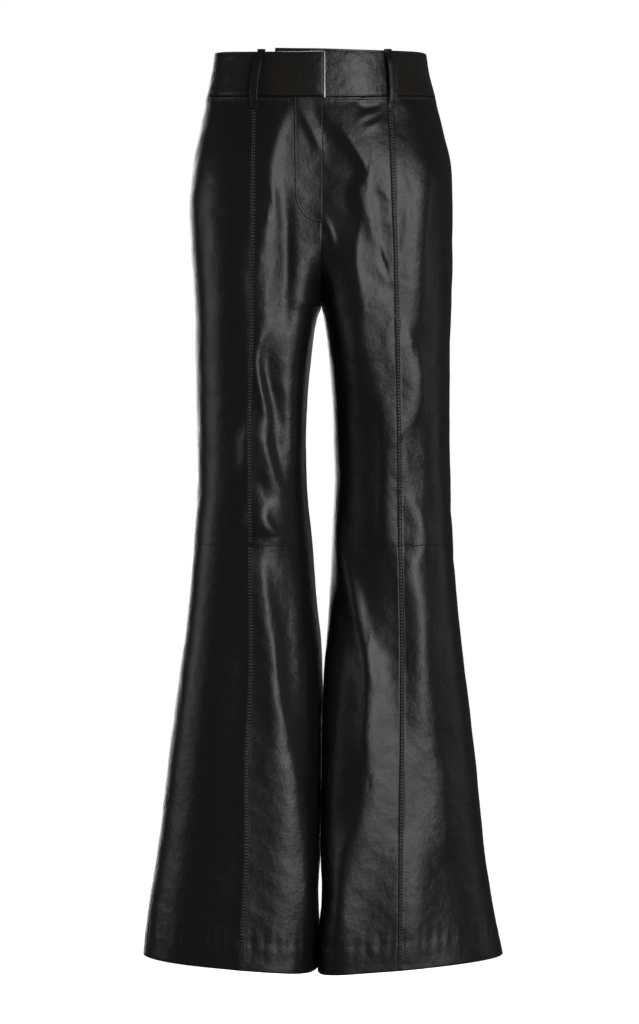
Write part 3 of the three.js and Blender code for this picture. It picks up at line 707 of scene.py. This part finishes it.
def waist_length(panel, z, x):
    z, x = np.broadcast_arrays(np.asarray(z, dtype=float), np.asarray(x, dtype=float))
    result = np.zeros(z.size)
    flat_z, flat_x = z.ravel(), x.ravel()
    for side in (-1, 1):
        mine = flat_x < 0 if side < 0 else flat_x >= 0
        if mine.any():
            result[mine] = side * length_at_x(side, panel, flat_z[mine], flat_x[mine])
    return result.reshape(z.shape)


def edge_profile(distance, radius):
    """How far a rounded outer edge lies below its face."""
    d = np.clip(distance / radius, 0, 1)
    return -radius * (1 - np.sqrt(np.maximum(0, 1 - (1 - d) ** 2)))


def band_stitch(distance, place):
    """The groove of a row of stitches close to the edge of the band, and the ripples beside it."""
    off = distance - BAND_STITCH_IN
    wave = np.sin(0.8 * place + 1.1 * np.sin(0.09 * place))
    return -0.3 * np.exp(-((off / 0.45) ** 2)) + 0.07 * wave * np.exp(-(off / 2.5) ** 2)


def band_piece(name, panel, start, end, shape_of, near_start, near_end, stitched_ends=(False, False)):
    levels = graded(BAND_BOTTOM + SEAM_GAP / 2, BAND_TOP, BAND_SPACING, BAND_EDGE, BAND_EDGE)
    plan = min((graded(start(v), end(v), BAND_SPACING, near_start, near_end) for v in levels), key=len)
    a0, b0 = plan[0], plan[-1]
    lengths = np.array([start(v) + (plan - a0) * (end(v) - start(v)) / (b0 - a0) for v in levels])
    z = np.broadcast_to(levels[:, None], lengths.shape)
    rows_up = (levels - levels[0])[:, None] / (levels[-1] - levels[0])
    x = skin(panel, lengths, z, 0, 0)[0][..., 0]
    step, raised = shape_of(x)
    at = z + raised * rows_up
    shifted = lengths + waist_length(panel, at, x) - waist_length(panel, z, x)
    from_bottom = z - levels[0]
    from_top = levels[-1] - z
    detail = edge_profile(from_bottom, 0.9) + edge_profile(from_top, 0.9)
    detail = detail + band_stitch(from_top, lengths) + band_stitch(from_bottom, lengths + 31)
    from_start, from_end = lengths - lengths[:, :1], lengths[:, -1:] - lengths
    if stitched_ends[0]:
        detail = detail + edge_profile(from_start, 0.9) + band_stitch(from_start, z)
    if stitched_ends[1]:
        detail = detail + edge_profile(from_end, 0.9) + band_stitch(from_end, z)
    swell = 0.5 * np.sin(np.pi * np.clip((z - levels[0]) / (levels[-1] - levels[0]), 0, 1))
    swell = swell + 0.35 * np.sin(0.045 * lengths + 0.4) * np.sin(0.07 * z + 0.03 * lengths)
    outside, _ = skin(panel, shifted, at, BAND_PROUD + step + detail + swell, 0)
    inside, _ = skin(panel, shifted, at, BAND_PROUD + step - BAND_LEATHER + np.zeros_like(z), 0)
    obj = wall(name, outside, inside, BAND_COATS)
    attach(obj, "root")
    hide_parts(name.removeprefix("cloth_"))


def over_shape(x):
    """Step out over the underlap and towards the end, with no rise of the top."""
    step = OVERLAP["step"] * smoothstep(x, OVERLAP["under_end_x"] - OVERLAP["blend"], OVERLAP["under_end_x"])
    return step + OVERLAP["end_lift"] * smoothstep(x, OVERLAP["end_x"] - 46, OVERLAP["end_x"] + 6), 0 * x


def under_shape(x):
    """Step in behind the overlapping end, and the rise of the top."""
    step = -OVERLAP["step"] * (1 - smoothstep(x, OVERLAP["end_x"], OVERLAP["end_x"] + OVERLAP["rise"]))
    return step, OVERLAP["under_lift"] * (1 - smoothstep(x, -20, 130))


def plain_shape(x):
    return 0 * x, 0 * x


def make_waistband():
    def side_seam(side, panel):
        return lambda z: side * (float(curve_lengths(side, panel, [z])[0]) - SEAM_GAP / 2)

    def at_x(x):
        return lambda z: float(waist_length("front", np.array([z]), np.array([x]))[0])

    band_piece("cloth_waistband_right", "front", side_seam(-1, "front"), at_x(OVERLAP["end_x"]),
               over_shape, EDGE, BAND_EDGE, (False, True))
    band_piece("cloth_waistband_left", "front", at_x(OVERLAP["under_end_x"]), side_seam(1, "front"),
               under_shape, BAND_EDGE, EDGE, (True, False))
    band_piece("cloth_waistband_back", "back", side_seam(-1, "back"), side_seam(1, "back"),
               plain_shape, EDGE, EDGE)


def fly_curve(straight, angles, inset=0):
    """The J of the fly's edge, or of a line inside it, as x and z from the waistband to its tip."""
    tip = FLY["edge_x"] - FLY["tip_width"]
    drop = FLY["curve_z"] - FLY["bottom_z"] - inset
    leaning = np.interp(straight, [FLY["curve_z"], BAND_BOTTOM], [FLY["curve_x"], FLY["top_x"]]) + inset
    x = np.concatenate([leaning, tip + (FLY["curve_x"] + inset - tip) * np.cos(angles)])
    z = np.concatenate([straight, FLY["curve_z"] - drop * np.sin(angles)])
    return x, z


def make_fly():
    straight = graded(BAND_BOTTOM - SEAM_GAP / 2, FLY["curve_z"], 3.0, EDGE, [0])
    left, z = fly_curve(straight, np.linspace(0, np.pi / 2, 26)[1:])
    start = waist_length("front", z, left)
    end = waist_length("front", z, np.full(len(z), FLY["edge_x"]))
    nominal_width = 34
    plan = graded(0, nominal_width, 2.2, FLY_EDGE, FLY_EDGE) / nominal_width
    lengths = start[:, None] + plan[None, :] * (end - start)[:, None]
    grid_z = np.broadcast_to(z[:, None], lengths.shape)
    from_start = lengths - start[:, None]
    from_end = end[:, None] - lengths
    from_low = (z - z[-1])[:, None] + 0 * lengths
    edge = np.minimum(from_start, from_low * 0.6 + 0.01)
    detail = edge_profile(edge, 1.1) + edge_profile(from_end, 0.8) + roll((z[0] - z)[:, None])
    detail = detail - 0.22 * np.exp(-(((from_start - FLY_STITCH_IN) / 0.5) ** 2))
    outside, _ = skin("front", lengths, grid_z, SEAM_GAP + LEATHER + detail)
    inside, _ = skin("front", lengths, grid_z, SEAM_GAP + np.zeros_like(lengths))
    obj = wall("cloth_fly_placket", outside, inside, COATS)
    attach(obj, "root")
    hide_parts("fly_placket")


def loop_path():
    fine = np.linspace(0, len(LOOP_PROFILE) - 1, 46)
    grid = np.arange(len(LOOP_PROFILE))
    smooth = []
    for column in range(3):
        values = np.interp(fine, grid, LOOP_PROFILE[:, column])
        padded = np.pad(values, 2, mode="edge")
        smooth.append(np.convolve(padded, [0.1, 0.2, 0.4, 0.2, 0.1], mode="valid"))
    return np.stack(smooth, axis=1)


def make_belt_loops():
    path = loop_path()
    places = [0, 0.2, 0.5, 1.0, 1.6, 2.4, 3.6, 5, 6.4, 7.6, 8.4, 9.0, 9.5, 9.8, LOOP_WIDTH]
    across = np.array(places) - LOOP_WIDTH / 2
    for name, panel, x, lean in BELT_LOOPS:
        z = path[:, 0]
        middle = waist_length(panel, z, x + lean * path[:, 2])
        lengths = middle[:, None] + across[None, :]
        grid_z = np.broadcast_to(z[:, None], lengths.shape)
        from_edge = LOOP_WIDTH / 2 - np.abs(across)[None, :] + 0 * lengths
        detail = edge_profile(from_edge, 0.9) - 0.28 * np.exp(-(((from_edge - 1.6) / 0.4) ** 2))
        out = path[:, 1][:, None]
        outside, _ = skin(panel, lengths, grid_z, out + LOOP_LEATHER + detail, 0)
        inside, _ = skin(panel, lengths, grid_z, out + 0 * lengths, 0)
        obj = wall(f"cloth_{name}", outside, inside, COATS)
        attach(obj, "root")
        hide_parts(name)


# Stitches

STITCH = {"length": 2.1, "gap": 1.8, "width": 1.0, "height": 0.4}
NEEDLE_HOLE_SHADE = {"length": 2.1, "width": 1.7, "height": 0.36}  # painted shade: a near-black bead that stands for the shadow in the dent where the thread goes down
BEAD_SIDES = 6


def along_path(points, normals, step):
    lengths = np.concatenate([[0], np.cumsum(np.linalg.norm(np.diff(points, axis=0), axis=1))])
    places = np.arange(step / 2, lengths[-1], step)
    mid = np.stack([np.interp(places, lengths, points[:, k]) for k in range(3)], axis=1)
    normal = np.stack([np.interp(places, lengths, normals[:, k]) for k in range(3)], axis=1)
    ahead = np.stack([np.interp(places + 0.5, lengths, points[:, k]) for k in range(3)], axis=1)
    behind = np.stack([np.interp(places - 0.5, lengths, points[:, k]) for k in range(3)], axis=1)
    return mid, normal, ahead - behind


def bead(middle, frame, size, stations):
    """A bead along a path: its points, and its faces counted from 0."""
    forward, sideways, up = frame
    angles = np.linspace(0, 2 * math.pi, BEAD_SIDES + 1)[:-1]
    points = []
    for place, share, sink in stations:
        centre = middle + forward * place * size["length"] + up * sink * size["height"]
        for angle in angles:
            points.append(centre + sideways * math.cos(angle) * size["width"] / 2 * share
                          + up * math.sin(angle) * size["height"] / 2 * share)
    faces = []
    for k in range(len(stations) - 1):
        for j in range(BEAD_SIDES):
            a, b = BEAD_SIDES * k + j, BEAD_SIDES * k + (j + 1) % BEAD_SIDES
            faces.append((a, b, b + BEAD_SIDES, a + BEAD_SIDES))
    faces.append(tuple(range(BEAD_SIDES - 1, -1, -1)))
    faces.append(tuple(range(BEAD_SIDES * (len(stations) - 1), BEAD_SIDES * len(stations))))
    return points, faces


def stitch_mesh(name, paths):
    """A row of thread stitches along each path, with a near-black bead of painted shade for the needle-hole
    dent between each two, joined in one mesh.
    """
    thread_stations = [(-0.5, 0.25, -0.25), (-0.3, 0.85, 0.0), (0.3, 0.85, 0.0), (0.5, 0.25, -0.25)]
    hole_shade_stations = [(-0.5, 0.3, 0.0), (0.0, 1.0, 0.0), (0.5, 0.3, 0.0)]
    pitch = STITCH["length"] + STITCH["gap"]
    verts, faces, kinds = [], [], []
    for points, normals in paths:
        for middle, normal, ahead in zip(*along_path(points, normals, pitch)):
            forward = ahead / np.linalg.norm(ahead)
            up = normal - forward * (normal @ forward)
            up /= np.linalg.norm(up)
            frame = (forward, np.cross(forward, up), up)
            # kind 1 is the near-black bead of painted shade halfway between two stitches
            for kind, place, size, stations in ((0, middle, STITCH, thread_stations),
                                                (1, middle + forward * pitch / 2, NEEDLE_HOLE_SHADE, hole_shade_stations)):
                bead_points, bead_faces = bead(place, frame, size, stations)
                faces += [tuple(len(verts) + corner for corner in face) for face in bead_faces]
                kinds += [kind] * len(bead_faces)
                verts += [point * MM for point in bead_points]
    obj = mesh_object(name, np.array(verts), faces, [THREAD_GLINT_MATERIAL, NEEDLE_HOLE_SHADE_MATERIAL], kinds)
    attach(obj, "root")


def seam_stitches():
    paths = []
    for side in (-1, 1):
        for top, bottom in ((BAND_BOTTOM - 5, KNEE_SEAM_Z + 1), (KNEE_SEAM_Z - 1, HEM_Z + 2)):
            z = np.arange(top, bottom, -4.0)
            for offset in ROW_OFFSETS:
                lengths = side * (seam_lengths(side, z) + side * offset)
                ground = float(topstitched(np.array(offset), ROW_OFFSETS))
                paths.append(skin("front", lengths, z, FRONT_SEAM_SHARES[side] * (ground + 0.3)))
    stitch_mesh("stitches_front_seams", paths)


def band_stitches():
    paths = []
    for panel in ("front", "back"):
        for side in (-1, 1):
            reach = float(curve_lengths(side, panel, [BAND_BOTTOM - 4])[0])
            lengths = side * np.arange(1.5, reach - 1, 3.0)
            z = np.full(len(lengths), BAND_BOTTOM - SEAM_GAP / 2 - STITCH_IN)
            if panel == "front" and side < 0:
                lengths = lengths[np.abs(lengths) > 36]
                z = z[:len(lengths)]
            paths.append(skin(panel, lengths, z, 0.12))
    stitch_mesh("stitches_under_band", paths)


def fly_stitches():
    straight = np.arange(BAND_BOTTOM - 1, FLY["curve_z"], -3.0)
    x, z = fly_curve(straight, np.linspace(0, np.pi / 2, 30), FLY_STITCH_IN)
    paths = [skin("front", waist_length("front", z, x), z, SEAM_GAP + LEATHER - 0.12)]
    for bar_z, bar_x in ((-126.5, -30.5), (-140, -33.5)):
        bar = np.linspace(bar_x - 2.4, bar_x + 2.4, 5)
        height = np.full(5, float(bar_z))
        paths.append(skin("front", waist_length("front", height, bar), height, SEAM_GAP + LEATHER + 0.05))
    stitch_mesh("stitches_fly", paths)


def make_stitches():
    seam_stitches()
    band_stitches()
    fly_stitches()


def make_pale_edge():
    """A pale bead along the end and the top of the overlapping band."""
    z_end = np.linspace(BAND_BOTTOM - 2.5, BAND_TOP - 0.3, 30)
    x_end = np.full(len(z_end), OVERLAP["end_x"] + 0.15)
    x_top = np.linspace(OVERLAP["end_x"] - 0.6, -54, 34)
    z_top = np.full(len(x_top), BAND_TOP + 0.1)
    rows = []
    for xs, zs, widths in ((x_end, z_end, (2.1, 1.1)), (x_top, z_top, (1.1, 0.5))):
        size = np.linspace(*widths, len(xs))
        out = BAND_PROUD + over_shape(xs)[0] - 0.7
        points, normals = skin("front", waist_length("front", zs, xs), zs, out, 0)
        rows.append((points, normals, size))
    verts, faces = [], []
    for points, normals, size in rows:
        ahead = np.gradient(points, axis=0)
        ahead /= np.linalg.norm(ahead, axis=1, keepdims=True)
        sideways = np.cross(ahead, normals)
        start = len(verts)
        ring = [(math.cos(a), math.sin(a)) for a in np.linspace(0, 2 * math.pi, 9)[:-1]]
        for p, n, s, w in zip(points, normals, sideways, size):
            for c, d in ring:
                verts.append((p + s * c * w * 0.5 + n * d * 0.75) * MM)
        for k in range(len(points) - 1):
            for j in range(8):
                a, b = start + 8 * k + j, start + 8 * k + (j + 1) % 8
                faces.append((a, b, b + 8, a + 8))
        faces.append(tuple(start + j for j in range(7, -1, -1)))
        faces.append(tuple(start + 8 * (len(points) - 1) + j for j in range(8)))
    obj = mesh_object("pale_edge", np.array(verts), faces, [EDGE_MATERIAL])
    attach(obj, "root")


# Camera, light and floor

CAMERA_PLACE = (-0.0025, -3.6, -0.5419)
LENS = 102.07


def make_camera():
    data = bpy.data.cameras.new("camera")
    data.sensor_width = 36
    data.lens = LENS
    camera = bpy.data.objects.new("camera", data)
    camera.location = CAMERA_PLACE
    camera.rotation_euler = (math.pi / 2, 0, 0)
    bpy.context.collection.objects.link(camera)
    bpy.context.scene.camera = camera


def area_light(name, place, target, width, height, power):
    data = bpy.data.lights.new(name, "AREA")
    data.shape = "RECTANGLE"
    data.size = width
    data.size_y = height
    data.energy = power
    light = bpy.data.objects.new(name, data)
    light.location = place
    direction = np.array(target) - np.array(place)
    light.rotation_euler = Vector(direction).to_track_quat("-Z", "Y").to_euler()
    bpy.context.collection.objects.link(light)


LIGHTS = [  # name, place, target, width, height, power
    ("key", (1.25, -3.0, 0.15), (0.0, 0.0, -0.4), 1.4, 3.2, 62),
    ("side_left", (-2.8, -0.25, -0.2), (0.0, 0.0, -0.4), 1.4, 1.6, 9),
    ("side_right", (2.8, -0.1, -0.4), (0.0, 0.0, -0.5), 1.0, 1.6, 3),
    ("behind", (-0.8, 3.0, -0.2), (0.0, 0.0, -0.5), 1.9, 2.4, 55),
]


def make_light():
    for light in LIGHTS:
        area_light(*light)
    world = bpy.data.worlds.new("studio")
    bpy.context.scene.world = world
    world.use_nodes = True
    tree = world.node_tree
    background = tree.nodes["Background"]
    background.inputs["Color"].default_value = (1, 1, 1, 1)
    background.inputs["Strength"].default_value = 0.055
    seen = tree.nodes.new("ShaderNodeBackground")
    seen.inputs["Color"].default_value = (1, 1, 1, 1)
    seen.inputs["Strength"].default_value = 1.0
    mix = tree.nodes.new("ShaderNodeMixShader")
    rays = tree.nodes.new("ShaderNodeLightPath")
    tree.links.new(rays.outputs["Is Camera Ray"], mix.inputs["Fac"])
    tree.links.new(background.outputs["Background"], mix.inputs[1])
    tree.links.new(seen.outputs["Background"], mix.inputs[2])
    tree.links.new(mix.outputs["Shader"], tree.nodes["World Output"].inputs["Surface"])
    bpy.context.scene.view_settings.view_transform = "Standard"


def make_floor():
    material, _, shader = principled("pale_floor")
    shader.inputs["Base Color"].default_value = (0.92, 0.92, 0.92, 1)
    shader.inputs["Roughness"].default_value = 0.9
    shader.inputs["Emission Color"].default_value = (1, 1, 1, 1)
    shader.inputs["Emission Strength"].default_value = 1.0
    size, z = 9, -1.62
    corners = np.array([(-size, -size, z), (size, -size, z), (size, size, z), (-size, size, z)])
    floor = mesh_object("floor", corners, [(0, 1, 2, 3)], [material])
    floor.visible_glossy = False
    floor.visible_diffuse = False


make_camera()
make_light()
make_floor()
make_legs()
make_fly()
make_waistband()
make_belt_loops()
make_stitches()
make_pale_edge()
